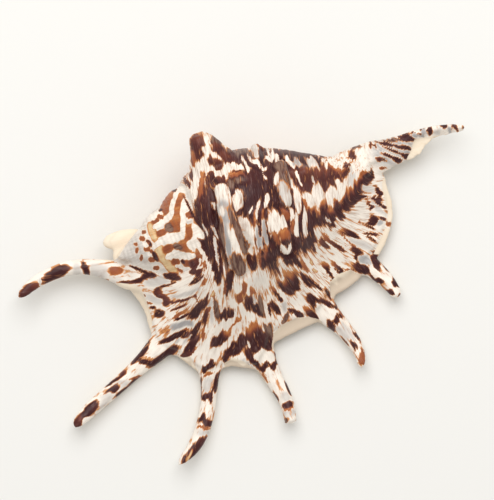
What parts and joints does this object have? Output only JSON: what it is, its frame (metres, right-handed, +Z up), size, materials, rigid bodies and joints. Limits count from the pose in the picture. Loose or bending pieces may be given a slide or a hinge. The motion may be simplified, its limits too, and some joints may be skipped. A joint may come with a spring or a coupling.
{
  "type": "spider conch shell",
  "caption": "Spider conch sea shell with a coiled spire, a knobbed body whorl, a flared lip with long curved fingers and a drawn-out siphonal canal, lying on its aperture side.",
  "frame": {"origin": "centre of the bounding box in plan, on the floor that the shell rests on", "axes": "+X along the coiling axis from the apex to the tip of the siphonal canal, -Y towards the flared lip and its fingers, +Z up, the back of the shell"},
  "size_m": [0.1722, 0.1102, 0.0453],
  "materials": {
    "glazed shell": "satin natural glaze, cream with dark brown and orange brown markings"
  },
  "bodies": {
    "root": {"shell": "glazed shell"}
  },
  "joints": []
}
